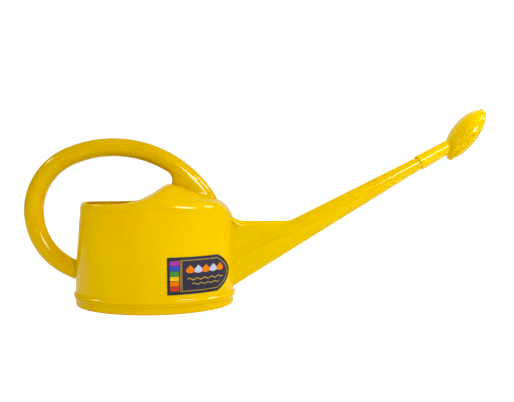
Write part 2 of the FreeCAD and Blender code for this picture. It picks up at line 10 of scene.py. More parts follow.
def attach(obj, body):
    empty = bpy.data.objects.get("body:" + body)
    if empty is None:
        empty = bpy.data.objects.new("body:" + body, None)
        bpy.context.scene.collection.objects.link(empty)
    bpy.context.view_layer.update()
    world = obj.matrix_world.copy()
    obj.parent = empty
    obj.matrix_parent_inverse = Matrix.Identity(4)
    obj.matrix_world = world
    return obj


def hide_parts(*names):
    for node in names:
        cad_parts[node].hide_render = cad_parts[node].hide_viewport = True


# Looks of the two litre watering can. Shapes are worked out in millimetres, in the CAD frame: the origin
# is the middle of the underside, +Z is up and +X runs towards the spout. Meshes are stored in metres.

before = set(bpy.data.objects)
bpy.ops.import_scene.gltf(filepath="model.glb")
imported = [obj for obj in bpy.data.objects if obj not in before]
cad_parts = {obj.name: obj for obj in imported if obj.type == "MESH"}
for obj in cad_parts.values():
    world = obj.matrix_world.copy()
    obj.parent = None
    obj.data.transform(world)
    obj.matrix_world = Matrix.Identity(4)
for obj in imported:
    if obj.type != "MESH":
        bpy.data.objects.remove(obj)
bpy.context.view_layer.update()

MM = 0.001
TURN = 2.0 * math.pi

# Tank
BASE_HALF_LENGTH = 100.0
BASE_HALF_WIDTH = 59.4
FRONT_DRAFT = 0.011
REAR_CURVE = 0.00057
SIDE_DRAFT = 0.012
WALL = 2.2
RIM_HEIGHT = 128.8
SHOULDER = 12.0
HOOD_START = -52.0
HOOD_END = 54.0
HOOD_EASE = 1.4
HOOD_RISE = 41.0
HOOD_RIDGE_X = 24.6
HOOD_RIDGE_HEIGHT = 152.0
HOOD_FALL = 0.354
HOOD_CREST = 4.0
HOOD_HALF_WIDTH = 62.0
HOOD_ARCH = 2.2
EAVE_DROP = 4.0
EAVE_END = 60.0
NOSE_START = 75.0
NOSE_CURVE = 0.020
HOOD_REACH = 118.0
MOUTH_X = -35.0
MOUTH_HALF_LENGTH = 52.0
MOUTH_HALF_WIDTH = 43.7
WELD_HEIGHT = 13.0
WELD_OUT = 1.6
RIDGE_OUT = 2.2
FLANGE_TOP = 15.4
FLARE_TOP = 21.0
FLOOR = 2.2
SEAM_LEVEL = 12.97

# Handle
TUBE = 11.5
HANDLE_TOP_X = -50.9
HANDLE_TOP_Z = 197.7
FRONT_ARC = 138.9
BACK_ARC = 76.9
LOW_ARC = 98.2
BACK_ANGLE = 114.5
LOW_ANGLE = 235.0
END_ANGLE = 258.0
LEG_ANGLE = 64.0
LEG_END_ANGLE = 30.0
LEG_BACK_X = 22.7
HANDLE_FILLET = 1.6

# Spout
ROOT_X = 92.0
ROOT_Z = 40.6
SPOUT_ANGLE = math.radians(29.45)
SPOUT_LENGTH = 308.0
ROOT_RADIUS = 21.4
ROOT_HALF_WIDTH = 10.5
ROUND_START = 262.0
TIP_RADIUS = 6.5
SPOUT_WALL = 1.8
SPOUT_FILLET = 1.5
TIP_LIP = 0.5
ROOT_SEARCH = (90.0, -35.0)
WEB_HEIGHT = 104.7
WEB_ARC = 26.0
WEB_ARC_X = 115.0
WEB_CREST = 9.0
WEB_CREST_THIN = 4.6
WEB_FOOT = 0.95
WEB_FOOT_THIN = 0.80
WEB_THIN_START = 20.0
WEB_THIN_RUN = 74.0
WEB_HIDDEN = 6.0

# Rose
SLEEVE_START = 279.0
SLEEVE_END = 334.0
SLEEVE_START_RADIUS = 9.7
SLEEVE_END_RADIUS = 7.7
SEAL_START = 282.0
SEAL_WIDTH = 3.0
SEAL_RADIUS = 8.6
WATERWAY = 4.9
ROSE_REACH = 347.4
ROSE_LIFT = 2.2
ROSE_TILT = math.radians(56.7)
ROSE_HALF_LENGTH = 35.0
ROSE_HALF_WIDTH = 26.0
ROSE_BACK_DEPTH = 17.0
ROSE_FACE_DEPTH = 11.0
ROSE_WALL = 1.8
HOLE_GAP = 6.4
HOLE_CIRCLES = 4
HOLE_SIDES = 14
# Rings of a hole's dimple: radius, depth
HOLE_DIMPLE = [(0.7, 0.28), (1.0, 0.06), (1.5, 0.0)]
FACE_BORDER = 0.90
RIM_BAND = 0.6
RIM_BAND_HEIGHT = 1.6
# Band round the rim of one half, from the dome to the parting plane: outward, height
RIM_PROFILE = [(0.0, RIM_BAND_HEIGHT + 0.35), (0.12, RIM_BAND_HEIGHT + 0.12), (0.42, RIM_BAND_HEIGHT - 0.02),
               (RIM_BAND, RIM_BAND_HEIGHT - 0.25), (RIM_BAND, 0.25), (RIM_BAND - 0.2, 0.04)]
ROSE_GAP = 0.05
LUG_REACH = 37.4
LUG_WIDTH = 8.0
LUG_HEIGHT = 2.4
LUG_ROUND = 2.6
LUG_SOFT = 0.45

# Label
LABEL_BACK_X = 26.5
LABEL_SHOULDER_X = 82.7
LABEL_TIP_X = 95.2
LABEL_LOW = 23.3
LABEL_HIGH = 67.3
LABEL_FILM = 0.25
LABEL_RUN_LEVEL = 45.0
LABEL_DIVIDER = 16.6
LABEL_BARS = 6
LABEL_DROPS = 5
FRAME_INSET = 3.6
FRAME_LINE = 0.7
LABEL_MIDDLE = (LABEL_LOW + LABEL_HIGH) / 2

# Fineness of the meshes
TANK_COLUMNS = 240
WALL_ROWS = 9
SHOULDER_ROWS = 13
ROOF_ROWS = 17
HANDLE_SIDES = 56
SPOUT_HALF_LINES = 56
SPOUT_LINES = 2 * SPOUT_HALF_LINES
STATION_GAP = 0.8
ROSE_COLUMNS = 120
HALVINGS = 40

# Camera and light, in metres, degrees and watts
CAMERA_PLACE = (0.1303, -0.5649, 0.1609)
CAMERA_DIP = 3.16
CAMERA_LENS = 31.17
CAN_MIDDLE = (0.08, 0.0, 0.10)
LAMPS = [
    # name, place, size, power, seen in the gloss
    ("key", (0.52, -0.85, 0.64), (0.38, 0.28), 4.7, True),
    ("side", (0.80, -0.19, 0.79), (0.30, 0.20), 2.6, True),
    ("rear", (-0.86, -0.16, 0.66), (0.25, 0.12), 0.80, True),
    ("back", (-0.25, 1.0, 0.75), (0.7, 0.5), 6.0, False),
]
ROOM_LOW = 0.30
ROOM_HIGH = 0.60
GLOSS_FRONT = 0.03
GLOSS_BACKDROP = 0.60
SKY_SEEN = 1.15
FLOOR_SEEN = 0.70
FLOOR_BOUNCE = 0.06
BLUE_BLACK = 0.045

# Colours
YELLOW_SHADES = [(0.30, (0.86, 0.512, 0.0012)), (0.52, (0.90, 0.553, 0.0014)),
                 (0.72, (0.92, 0.580, 0.0018))]
SEAM_BUMP = 2.2
INKS = [
    # name, colour, roughness
    ("ink_night", (0.004, 0.003, 0.070), 0.10),
    ("ink_gold", (0.62, 0.36, 0.06), 0.22),
    ("ink_red", (0.60, 0.02, 0.04), 0.14),
    ("ink_orange", (0.90, 0.19, 0.01), 0.14),
    ("ink_yellow", (0.90, 0.55, 0.02), 0.14),
    ("ink_green", (0.03, 0.28, 0.06), 0.14),
    ("ink_blue", (0.01, 0.05, 0.62), 0.14),
    ("ink_plum", (0.42, 0.01, 0.40), 0.14),
    ("ink_pale", (0.55, 0.60, 0.85), 0.14),
]
NIGHT, GOLD, RED, ORANGE, PALE = 0, 1, 2, 3, 8


# ---- numbers

def smooth_step(value):
    value = np.clip(value, 0.0, 1.0)
    return value * value * (3.0 - 2.0 * value)


def smooth_max(a, b, width):
    """The larger of two values, with a round corner where they cross."""
    return 0.5 * (a + b + np.sqrt((a - b) ** 2 + width * width))


def unit(vectors):
    return vectors / np.maximum(np.linalg.norm(vectors, axis=-1, keepdims=True), 1e-12)


def round_turn(count):
    """Evenly spaced directions round a circle."""
    return np.linspace(0, TURN, count, endpoint=False)


def run_along(points):
    """Distance along a line of points to each of them."""
    return np.concatenate([[0], np.cumsum(np.linalg.norm(np.diff(points, axis=0), axis=1))])


def spline_at(knots, values, where):
    """Catmull-Rom curve through the values at rising knots."""
    knots = np.asarray(knots, float)
    values = np.asarray(values, float)
    slopes = np.gradient(values, knots, axis=0)
    i = np.clip(np.searchsorted(knots, where) - 1, 0, len(knots) - 2)
    span = (knots[i + 1] - knots[i])[:, None]
    u = ((where - knots[i])[:, None]) / span
    return ((2 * u**3 - 3 * u**2 + 1) * values[i] + (u**3 - 2 * u**2 + u) * span * slopes[i]
            + (3 * u**2 - 2 * u**3) * values[i + 1] + (u**3 - u**2) * span * slopes[i + 1])


def halve(out, into, is_out):
    """The values, between two arrays of them, at which a test turns from true to false."""
    for _ in range(HALVINGS):
        middle = (out + into) / 2
        beyond = is_out(middle)
        out = np.where(beyond, middle, out)
        into = np.where(beyond, into, middle)
    return (out + into) / 2


# ---- meshes

def grid_faces(rows, columns, closed=True, first=0):
    """Quads between neighbouring rows of a grid of points."""
    faces = []
    for row in range(rows - 1):
        for column in range(columns if closed else columns - 1):
            a = first + row * columns + column
            b = first + row * columns + (column + 1) % columns
            faces.append((a, b, b + columns, a + columns))
    return faces


def ring_edges(ring):
    """Pairs of neighbouring points round a closed ring."""
    return list(zip(ring, ring[1:] + ring[:1]))


def fan(ring, centre):
    """Triangles from the points of a closed ring to one centre point."""
    return [(a, b, centre) for a, b in ring_edges(ring)]


def make_object(name, points, faces, crease=40.0):
    """A smooth piece from points in millimetres; edges sharper than the crease stay sharp."""
    mesh = bpy.data.meshes.new(name)
    mesh.from_pydata((np.asarray(points, float) * MM).tolist(), [], faces)
    mesh.validate()
    piece = bpy.data.objects.new(name, mesh)
    bpy.context.scene.collection.objects.link(piece)
    outward(piece)
    shade(piece, crease)
    return piece


def outward(piece):
    """Turns every face of a closed mesh to look out."""
    work = bmesh.new()
    work.from_mesh(piece.data)
    bmesh.ops.recalc_face_normals(work, faces=work.faces)
    work.to_mesh(piece.data)
    work.free()


def shade(piece, crease):
    piece.data.shade_smooth()
    piece.data.set_sharp_from_angle(angle=math.radians(crease))


def apply_modifier(piece, kind, **settings):
    """Bakes a modifier into the piece's mesh."""
    modifier = piece.modifiers.new(kind.lower(), kind)
    for key, value in settings.items():
        setattr(modifier, key, value)
    graph = bpy.context.evaluated_depsgraph_get()
    mesh = bpy.data.meshes.new_from_object(piece.evaluated_get(graph))
    piece.modifiers.clear()
    old = piece.data
    piece.data = mesh
    bpy.data.meshes.remove(old)


def carve(piece, tool):
    """Cuts a tool object out of a piece and removes the tool."""
    apply_modifier(piece, "BOOLEAN", operation="DIFFERENCE", object=tool, solver="EXACT")
    mesh = tool.data
    bpy.data.objects.remove(tool)
    bpy.data.meshes.remove(mesh)
    shade(piece, 50.0)


def ring_piece(name, rings, crease=40.0):
    """A closed piece from rings of points, the last joined to the first."""
    rows, columns = len(rings), len(rings[0])
    faces = grid_faces(rows, columns)
    last = (rows - 1) * columns
    faces += [(last + n, last + (n + 1) % columns, (n + 1) % columns, n) for n in range(columns)]
    return make_object(name, np.concatenate(rings), faces, crease)


def lines_to_piece(name, grid, crease=40.0):
    """A closed piece from a grid of rows, with both ends capped."""
    rows, columns = grid.shape[:2]
    points = list(grid.reshape(-1, 3)) + [grid[0].mean(0), grid[-1].mean(0)]
    faces = grid_faces(rows, columns)
    faces += fan(list(range(columns)), rows * columns)
    faces += fan([(rows - 1) * columns + n for n in range(columns)], rows * columns + 1)
    return make_object(name, points, faces, crease)


def settle(piece, body, slot, material, *nodes):
    """Gives a finished piece its material and body, and hides the CAD nodes that it stands for; slot is not
    used.
    """
    if not piece.data.materials:
        piece.data.materials.append(material)
    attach(piece, body)
    if nodes:
        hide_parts(*nodes)


# ---- tank surfaces

def oval_sizes(level):
    """Middle, half length and half width of the tank's oval at a level."""
    front = FRONT_DRAFT * level
    rear = REAR_CURVE * level * level
    return (rear - front) / 2, BASE_HALF_LENGTH - (front + rear) / 2, BASE_HALF_WIDTH - SIDE_DRAFT * level


def oval(turn, level, grow=0.0):
    """Points on the tank's oval at a level."""
    middle, half_length, half_width = oval_sizes(level)
    x = middle + (half_length + grow) * np.cos(turn)
    y = (half_width + grow) * np.sin(turn)
    return np.stack([x, y, level + 0.0 * turn], axis=-1)


def soft_lower(first, second):
    """The lower of two heights, with a round crest where they cross."""
    return 0.5 * (first + second - np.hypot(first - second, HOOD_CREST))


def ridge_height(x):
    """Height of the top along the middle plane: rim, rise into the hood, fall and round nose."""
    step = smooth_step(np.maximum((x - HOOD_START) / (HOOD_END - HOOD_START), 0.0) ** HOOD_EASE)
    fall = HOOD_RIDGE_HEIGHT - HOOD_FALL * (x - HOOD_RIDGE_X)
    fall = fall - NOSE_CURVE * np.maximum(x - NOSE_START, 0.0) ** 2
    return soft_lower(RIM_HEIGHT + HOOD_RISE * step, fall)


def roof_height(x, y):
    """Height of the roof: the ridge in the middle, arched down to the eaves on both sides."""
    ridge = ridge_height(x)
    eave = soft_lower(RIM_HEIGHT, ridge) - EAVE_DROP * smooth_step(x / EAVE_END)
    half_width = HOOD_HALF_WIDTH * np.sqrt(1.0 - (np.clip(x, -110, 110) / HOOD_REACH) ** 2)
    return eave + (ridge - eave) * (1.0 - (np.abs(y) / half_width) ** HOOD_ARCH)


def tank_distance(p):
    """How far points are outside the tank, or inside it if negative."""
    x, y, z = p[..., 0], p[..., 1], p[..., 2]
    middle, a, b = oval_sizes(z)
    u, v = (x - middle) / a, y / b
    f = np.maximum(np.hypot(u, v), 1e-6)
    side = (f - 1.0) * f / np.maximum(np.hypot(u / a, v / b), 1e-9)
    top = (z - roof_height(x, y)) / math.hypot(1.0, HOOD_FALL)
    over = np.hypot(np.maximum(side + SHOULDER, 0.0), np.maximum(top + SHOULDER, 0.0)) - SHOULDER
    both = (side > -SHOULDER) & (top > -SHOULDER)
    return np.where(both, over, np.maximum(side, top))


def tank_normal(p):
    steps = 0.05 * np.eye(3)
    return unit(np.stack([tank_distance(p + step) - tank_distance(p - step) for step in steps], axis=-1))


def mouth_edge(outer):
    """The point of the mouth's oval that faces each point of the wall's oval."""
    turn = np.arctan2(outer[:, 1] / MOUTH_HALF_WIDTH, (outer[:, 0] - MOUTH_X) / MOUTH_HALF_LENGTH)
    return np.stack([MOUTH_X + MOUTH_HALF_LENGTH * np.cos(turn), MOUTH_HALF_WIDTH * np.sin(turn)], -1)


def tank_skin(turn, inset):
    """Rings of points up the wall, over the shoulder and in to the mouth, for a skin lowered by an inset."""
    def roof(plan):
        return roof_height(plan[:, 0], plan[:, 1]) - inset

    level = np.full_like(turn, RIM_HEIGHT - SHOULDER)
    for _ in range(3):
        outer = oval(turn, level, -inset)
        ahead = oval(turn + 1e-3, level, -inset) - outer
        inward = unit(np.stack([-ahead[:, 1], ahead[:, 0]], -1))
        plan = outer[:, :2]
        slope = (roof(plan + SHOULDER * inward) - roof(plan)) / SHOULDER
        drop = (SHOULDER - 0.6 * inset) * np.tan(math.pi / 4 - np.arctan(slope) / 2)
        level = roof(plan) - drop
    edge = mouth_edge(oval(turn, level))
    width = np.linalg.norm(edge - plan, axis=-1)
    reach = np.minimum(drop, width - WALL)[:, None]
    rings = [oval(turn, FLARE_TOP + (level - FLARE_TOP) * step, -inset)
             for step in np.linspace(0, 1, WALL_ROWS)]
    for bend in np.radians(np.linspace(0, 90, SHOULDER_ROWS))[1:]:
        spot = plan + reach * (1 - math.cos(bend)) * inward
        rings.append(np.column_stack([spot, roof(spot) - drop * (1 - math.sin(bend))]))
    start = rings[-1][:, :2]
    towards = unit(edge - start)
    stop = edge - WALL / 2 * towards
    for step in np.linspace(0, 1, ROOF_ROWS)[1:]:
        spot = start + (stop - start) * step
        rings.append(np.column_stack([spot, roof(spot)]))
    return rings, stop, towards


def tank_piece():
    """Shell of the tank: flange, wall, shoulder, hood and mouth outside, and the same skin inside."""
    turn = round_turn(TANK_COLUMNS)
    outer, stop, towards = tank_skin(turn, 0.0)
    inner, _, _ = tank_skin(turn, WALL)
    low = [oval(turn, WELD_HEIGHT + up, out) for up, out in
           [(0.0, WELD_OUT), (0.15, WELD_OUT + 0.25), (0.5, RIDGE_OUT - 0.12), (0.9, RIDGE_OUT),
            (1.8, RIDGE_OUT), (2.15, RIDGE_OUT - 0.15)]]
    for step in np.linspace(0, 1, 8)[:-1]:
        level = FLANGE_TOP + (FLARE_TOP - FLANGE_TOP) * step
        low.append(oval(turn, level, (RIDGE_OUT - 0.35) * (1 - step) ** 3))
    rim = []
    middle = roof_height(stop[:, 0], stop[:, 1]) - WALL / 2
    for bend in np.radians(np.linspace(90, -90, 9))[1:-1]:
        spot = stop + WALL / 2 * math.cos(bend) * towards
        rim.append(np.column_stack([spot, middle + WALL / 2 * math.sin(bend)]))
    under = [oval(turn, WELD_HEIGHT, -WALL), oval(turn, WELD_HEIGHT + 5.0, -WALL)]
    return ring_piece("tank_body", low + outer + rim + inner[::-1] + under[::-1], 50.0)


def pan_piece():
    """Base pan: recessed underside, foot ring, wall and lower flange outside, and the floor inside."""
    turn = round_turn(TANK_COLUMNS)
    outer = [(1.15, -8.0), (0.9, -6.9), (0.25, -5.9), (0.0, -5.2), (0.0, -2.0), (0.4, -1.2), (1.2, -0.6),
             (2.4, -0.2), (4.2, 0.0), (6.6, 0.0), (8.0, 0.1), (9.3, 0.4), (10.2, 1.0),
             (10.9, RIDGE_OUT - 0.4), (11.3, RIDGE_OUT - 0.15), (12.1, RIDGE_OUT - 0.1),
             (12.5, RIDGE_OUT - 0.2), (12.8, WELD_OUT + 0.3), (SEAM_LEVEL, WELD_OUT)]
    inner = [(SEAM_LEVEL, -WALL), (6.5, -WALL), (FLOOR + 2.2, -2.7), (FLOOR + 0.7, -4.3),
             (FLOOR + 0.1, -7.0), (FLOOR, -12.0)]
    rings = [oval(turn, level, grow) for level, grow in outer + inner]
    below = [rings[0] * [share, share, 1.0] for share in (0.1, 0.3, 0.6, 0.86, 0.93)]
    above = [rings[-1] * [share, share, 1.0] for share in (0.9, 0.7, 0.4, 0.1)]
    return lines_to_piece("base_cup", np.array(below + rings + above), 50.0)


# ---- surfaces that land on the tank

def landing(surface, outside, inside, count):
    """For each of a surface's lines, the distance along it where it meets the tank."""
    lines = np.arange(count)
    return halve(np.full(count, float(outside)), np.full(count, float(inside)),
                 lambda distance: tank_distance(surface(distance, lines)) > 0)


def row_places(start, end, fillet, rows, sink):
    """Distances along each line: sunk into the tank, close together in the fillet, then evenly spaced."""
    side = np.sign(end - start)
    places = [start - side * sink, start]
    places += [start + side * fillet * share for share in (0.04, 0.12, 0.25, 0.42, 0.65, 0.95, 1.35)]
    near = places[-1]
    places += [near + (end - near) * share for share in np.linspace(0, 1, rows)[1:]]
    return np.array(places)


def flare(grid, fillet):
    """Spreads a grid's points along the tank where they come close to it, for a moulded fillet."""
    along = np.gradient(grid, axis=0)
    around = np.roll(grid, -1, axis=1) - np.roll(grid, 1, axis=1)
    normal = unit(np.cross(along, around))
    middle = grid.mean(axis=1, keepdims=True)
    normal *= np.where((normal * (grid - middle)).sum(-1, keepdims=True) < 0, -1.0, 1.0)
    away = tank_normal(grid)
    spread = unit(normal - (normal * away).sum(-1, keepdims=True) * away)
    near = np.clip(tank_distance(grid), 0.0, fillet)
    push = fillet - np.sqrt(fillet**2 - (fillet - near) ** 2)
    return grid + spread * push[..., None]


def spoke(degrees):
    """The direction at an angle from +X, in the middle plane."""
    return np.array([math.cos(math.radians(degrees)), math.sin(math.radians(degrees))])


FRONT_MIDDLE = np.array([HANDLE_TOP_X, HANDLE_TOP_Z - FRONT_ARC])


def leg_back_edge(turn):
    """Rear edge of the front leg at falling directions from the front arc's middle."""
    knots = [28.0, 34.0, 40.0, 46.5, 53.0, 59.5, 62.0, 64.0, 66.0]
    upright = [(0.0, 138.0), (0.0, 147.0), (0.0, 154.5), (-0.9, 160.6), (-4.0, 165.4)]
    values = [(LEG_BACK_X + x, z) for x, z in upright]
    values += [FRONT_MIDDLE + (FRONT_ARC - TUBE) * spoke(knot) for knot in knots[len(upright):]]
    return spline_at(knots, values, np.degrees(turn))


def handle_arcs():
    """Middle, radius, first and last direction of each arc, from the tank's back to the front leg."""
    back = FRONT_MIDDLE + (FRONT_ARC - BACK_ARC) * spoke(BACK_ANGLE)
    low = back + (BACK_ARC - LOW_ARC) * spoke(LOW_ANGLE)
    return [(low, LOW_ARC, END_ANGLE, LOW_ANGLE), (back, BACK_ARC, LOW_ANGLE, BACK_ANGLE),
            (FRONT_MIDDLE, FRONT_ARC, BACK_ANGLE, LEG_ANGLE),
            (FRONT_MIDDLE, FRONT_ARC, LEG_ANGLE, LEG_END_ANGLE)]


HANDLE_ARCS = handle_arcs()
HANDLE_RUNS = np.cumsum([0.0] + [arc[1] * math.radians(arc[2] - arc[3]) for arc in HANDLE_ARCS])


def handle_surface(distance, line):
    """Points of the handle's skin at distances along it and at numbered lines round it."""
    points = np.zeros((len(distance), 3))
    around = TURN * line / HANDLE_SIDES
    for number, (middle, radius, first, _) in enumerate(HANDLE_ARCS):
        low = HANDLE_RUNS[number] if number else -np.inf
        high = HANDLE_RUNS[number + 1] if number < 3 else np.inf
        here = (distance >= low) & (distance < high)
        turn = math.radians(first) - (distance[here] - HANDLE_RUNS[number]) / radius
        out = np.stack([np.cos(turn), np.sin(turn)], -1)
        ahead = middle + (radius + TUBE) * out
        rear = leg_back_edge(turn) if number == 3 else middle + (radius - TUBE) * out
        centre = (ahead + rear) / 2
        span = (ahead - rear) / 2 * np.cos(around[here])[:, None]
        points[here, ::2] = centre + span
        points[here, 1] = TUBE * np.sin(around[here])
    return points


def handle_piece():
    """Loop handle: one skin from the tank's back over the top to the leg on the hood."""
    lines = np.arange(HANDLE_SIDES)
    rear = landing(handle_surface, 45.0, 0.0, HANDLE_SIDES)
    foot = landing(handle_surface, HANDLE_RUNS[3], HANDLE_RUNS[4], HANDLE_SIDES)
    middle = np.full(HANDLE_SIDES, HANDLE_RUNS[2])
    first = row_places(rear, middle, HANDLE_FILLET, 70, 0.8)
    last = row_places(foot, middle, HANDLE_FILLET, 60, 0.8)
    places = np.concatenate([first, last[::-1][1:]])
    grid = np.array([handle_surface(row, lines) for row in places])
    return lines_to_piece("loop_handle", flare(grid, HANDLE_FILLET))


# ---- spout

ALONG = np.array([math.cos(SPOUT_ANGLE), 0.0, math.sin(SPOUT_ANGLE)])
ACROSS = np.array([-math.sin(SPOUT_ANGLE), 0.0, math.cos(SPOUT_ANGLE)])
ROOT = np.array([ROOT_X, 0.0, ROOT_Z])


def spout_radius(distance):
    return ROOT_RADIUS + (TIP_RADIUS - ROOT_RADIUS) * distance / SPOUT_LENGTH


def spout_half_width(distance):
    """Half width of the spout: an upright oval at its root that has turned round at ROUND_START."""
    oval_width = ROOT_HALF_WIDTH + (spout_radius(ROUND_START) - ROOT_HALF_WIDTH) * distance / ROUND_START
    return oval_width if distance < ROUND_START else spout_radius(distance)


def web_reach(distance):
    """Height of the web above the spout's axis, square to the axis, up to where its arc is that steep."""
    deepest = WEB_ARC_X - WEB_ARC * math.cos(SPOUT_ANGLE)
    high = np.maximum((ROOT_X + distance * ALONG[0] - deepest) / math.sin(SPOUT_ANGLE), 0.0)

    def above(height):
        x = ROOT_X + distance * ALONG[0] + height * ACROSS[0]
        z = ROOT_Z + distance * ALONG[2] + height * ACROSS[2]
        back = np.clip(WEB_ARC_X - x, 0.0, WEB_ARC)
        return z > WEB_HEIGHT + WEB_ARC - np.sqrt(WEB_ARC**2 - back**2)

    return float(halve(high, 0.0, above))


def spout_outline(distance, inset):
    """Half outline square to the axis, from its lowest to its highest point: (height, half width) pairs."""
    radius = spout_radius(distance) - inset
    half_width = spout_half_width(distance) - inset
    reach = web_reach(distance) - inset
    extra = reach - radius
    webbed = extra > -WEB_HIDDEN
    top = float(smooth_max(reach, radius, 1.6)) if webbed else radius
    height = top * np.sin(np.linspace(0, math.pi / 2, 240)[1:])
    width = half_width * np.sqrt(np.maximum(1.0 - (height / radius) ** 2, 0.0))
    if webbed:
        thin = float(smooth_step((distance - WEB_THIN_START) / WEB_THIN_RUN))
        crest = WEB_CREST + (WEB_CREST_THIN - WEB_CREST) * thin - inset
        foot = half_width * (WEB_FOOT + (WEB_FOOT_THIN - WEB_FOOT) * thin)
        peak = max(top - crest, 1e-3)
        side = foot + (crest - foot) * np.clip(height / peak, 0, 1)
        side *= np.sqrt(np.maximum(1.0 - (np.maximum(height - peak, 0) / crest) ** 2, 0.0))
        soft = 2.4 * float(smooth_step(extra / 12.0)) * np.clip((top - height) / crest, 0, 1)
        soft *= smooth_step(height / (0.35 * radius))
        width = np.where(height < top, smooth_max(width, side, soft), 0.0)
    lower = np.radians(np.linspace(-90, 0, 60))
    pairs = np.column_stack([np.concatenate([radius * np.sin(lower), height]),
                             np.concatenate([half_width * np.cos(lower), width])])
    pairs[-1, 1] = 0.0
    run = run_along(pairs)
    even = np.linspace(0, run[-1], SPOUT_HALF_LINES + 1)
    return np.column_stack([np.interp(even, run, part) for part in pairs.T])


def spout_skin(inset):
    """A skin of the spout, as points at distances along it and at numbered lines round it."""
    stations = np.arange(-40.0, SPOUT_LENGTH + 20.0, STATION_GAP)
    outlines = np.array([spout_outline(station, inset) for station in stations])

    def surface(distance, line):
        side = np.where(line <= SPOUT_HALF_LINES, 1.0, -1.0)
        index = np.where(line <= SPOUT_HALF_LINES, line, SPOUT_LINES - line)
        place = np.clip((distance - stations[0]) / STATION_GAP, 0, len(stations) - 1.001)
        lower = place.astype(int)
        share = (place - lower)[:, None]
        pair = outlines[lower, index] * (1 - share) + outlines[lower + 1, index] * share
        points = ROOT + distance[:, None] * ALONG + pair[:, :1] * ACROSS
        points[:, 1] = side * pair[:, 1]
        return points

    return surface


def spout_piece():
    """Tapered spout with its web, open from the tank to the tip."""
    lines = np.arange(SPOUT_LINES)
    outer = spout_skin(0.0)
    inner = spout_skin(SPOUT_WALL)
    root = landing(outer, *ROOT_SEARCH, SPOUT_LINES)
    end = np.full(SPOUT_LINES, SPOUT_LENGTH - TIP_LIP)
    places = row_places(root, end, SPOUT_FILLET, 150, 0.7)
    grid = np.array([outer(row, lines) for row in places])
    grid = list(flare(grid, SPOUT_FILLET))
    tip = outer(end, lines)
    away = unit(tip - (ROOT + (SPOUT_LENGTH - TIP_LIP) * ALONG))
    rim = [(0.35, -0.15), (TIP_LIP, -0.5), (TIP_LIP, -SPOUT_WALL + 0.3), (0.3, -SPOUT_WALL + 0.06)]
    grid += [tip + ahead * ALONG + shrink * away for ahead, shrink in rim]
    begin = landing(inner, *ROOT_SEARCH, SPOUT_LINES) - 0.4
    for share in np.linspace(1, 0, 70):
        grid.append(inner(begin + (SPOUT_LENGTH - 1.0 - begin) * share, lines))
    return ring_piece("spout_cone", grid)


def passage_tool():
    """The opening through the tank's wall into the spout, as a closed tool."""
    lines = np.arange(SPOUT_LINES)
    inner = spout_skin(SPOUT_WALL + 0.15)
    start = landing(inner, *ROOT_SEARCH, SPOUT_LINES)
    grid = np.array([inner(start + step, lines) for step in (-11.0, -7.0, -3.0, 2.0)])
    return lines_to_piece("passage_tool", grid)


# ---- rose

ROSE_X = np.array([-math.cos(ROSE_TILT), 0.0, -math.sin(ROSE_TILT)])
ROSE_Y = np.array([0.0, 1.0, 0.0])
ROSE_Z = np.array([math.sin(ROSE_TILT), 0.0, -math.cos(ROSE_TILT)])
ROSE_MIDDLE = ROOT + ROSE_REACH * ALONG + ROSE_LIFT * ACROSS


def in_rose(local):
    """Points from the rose's own axes: X along its oval, Z out of its face."""
    local = np.asarray(local, float)
    return ROSE_MIDDLE + local[..., :1] * ROSE_X + local[..., 1:2] * ROSE_Y + local[..., 2:] * ROSE_Z


def rose_oval(turn, height, grow, share=1.0):
    """Points on the rose's oval, grown outwards or shrunk to a share of it."""
    return np.stack([(ROSE_HALF_LENGTH + grow) * share * np.cos(turn),
                     (ROSE_HALF_WIDTH + grow) * share * np.sin(turn), height + 0.0 * turn], -1)


def thick_sheet(name, points, faces, side):
    """An open sheet turned to look out of the rose's face (1) or back (-1), thickened behind itself."""
    piece = make_object(name, points, faces, 50.0)
    total = sum((Vector(f.normal) * f.area for f in piece.data.polygons), Vector())
    if side * total.dot(Vector(ROSE_Z)) < 0:
        piece.data.flip_normals()
    apply_modifier(piece, "SOLIDIFY", thickness=ROSE_WALL * MM, offset=-1.0, use_even_offset=False)
    shade(piece, 50.0)
    return piece


def dome_back_piece():
    """Domed back of the rose: a skin from its middle out to the rim band, thickened inwards."""
    turn = round_turn(ROSE_COLUMNS)
    rings = []
    for bend in np.radians(np.linspace(4, 90, 26)):
        height = -ROSE_BACK_DEPTH * math.cos(bend)
        if height < -RIM_BAND_HEIGHT - 0.4:
            rings.append(rose_oval(turn, height, 0.0, math.sin(bend)))
    rings += [rose_oval(turn, -up, out) for out, up in RIM_PROFILE]
    points = list(in_rose(np.concatenate(rings))) + [in_rose(np.array([0, 0, -ROSE_BACK_DEPTH]))]
    faces = grid_faces(len(rings), len(turn)) + fan(list(range(len(turn))), len(points) - 1)
    return thick_sheet("rose_dome", points, faces, -1)


def spray_holes():
    """Middles of the spray holes on the face: rings spread evenly over the oval."""
    squash = ROSE_HALF_WIDTH / ROSE_HALF_LENGTH
    spots = [(0.0, 0.0)]
    for number in range(1, HOLE_CIRCLES + 1):
        spots += [(x, squash * y) for x, y in circle((0.0, 0.0), HOLE_GAP * number, 6 * number)]
    return spots


def circle(middle, radius, count):
    """Evenly spaced spots round a circle."""
    return [(middle[0] + radius * math.cos(turn), middle[1] + radius * math.sin(turn))
            for turn in round_turn(count)]


def face_disc(x, y):
    """Place on a flat unit disc of a point of the domed face, so that the steep rim isn't squeezed."""
    share = math.hypot(x / ROSE_HALF_LENGTH, y / ROSE_HALF_WIDTH)
    stretch = math.asin(min(share, 1.0)) / (math.pi / 2) / max(share, 1e-9)
    return x / ROSE_HALF_LENGTH * stretch, y / ROSE_HALF_WIDTH * stretch


